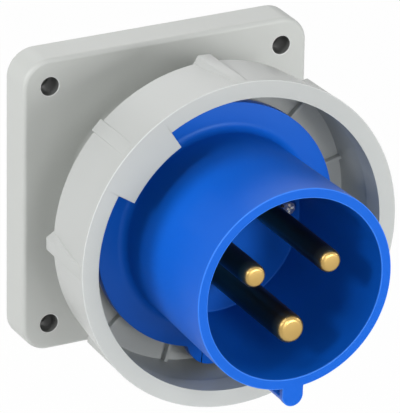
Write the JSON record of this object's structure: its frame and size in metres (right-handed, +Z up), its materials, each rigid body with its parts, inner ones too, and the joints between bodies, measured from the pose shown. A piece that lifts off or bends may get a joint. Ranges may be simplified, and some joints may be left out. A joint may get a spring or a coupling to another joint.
{
  "type": "industrial panel plug",
  "caption": "Round pin-and-sleeve power inlet for a panel: square flange, bayonet locking ring, keyed shroud and solid contact pins.",
  "frame": {"origin": "on the connector's axis, in the plane of the panel: the centre of the four fixing holes at the flange's back face", "axes": "+X to the right seen from the front, +Y into the panel along the connector's axis, +Z up; the contact pins point along -Y and the key is at the bottom"},
  "size_m": [0.1168, 0.1437, 0.1168],
  "materials": {
    "grey_plastic": "satin light grey moulding",
    "ring_plastic": "satin light grey moulding",
    "blue_plastic": "semi-gloss blue moulding",
    "seal_rubber": "matte black rubber",
    "carrier_plastic": "matte dark moulding",
    "pin_brass": "turned, bright",
    "insert_brass": "turned",
    "screw_steel": "zinc plated"
  },
  "bodies": {
    "inlet": {"flange_housing": "grey_plastic", "panel_gasket": "seal_rubber", "shroud_insert": "blue_plastic", "hub_seal": "seal_rubber", "line_pin": "pin_brass", "neutral_pin": "pin_brass", "earth_pin": "pin_brass", "line_pin_seals": "seal_rubber", "earth_pin_seal": "seal_rubber", "contact_carrier": "carrier_plastic", "terminal_screws": "screw_steel", "insert_screws": "screw_steel", "threaded_inserts": "insert_brass"},
    "ring": {"locking_ring": "ring_plastic"}
  },
  "joints": [
    {"name": "ring_turn", "type": "hinge", "parent": "inlet", "child": "ring", "pos_m": [0, 0, 0], "axis": [0, -1, 0], "range_deg": [0, 45]}
  ]
}
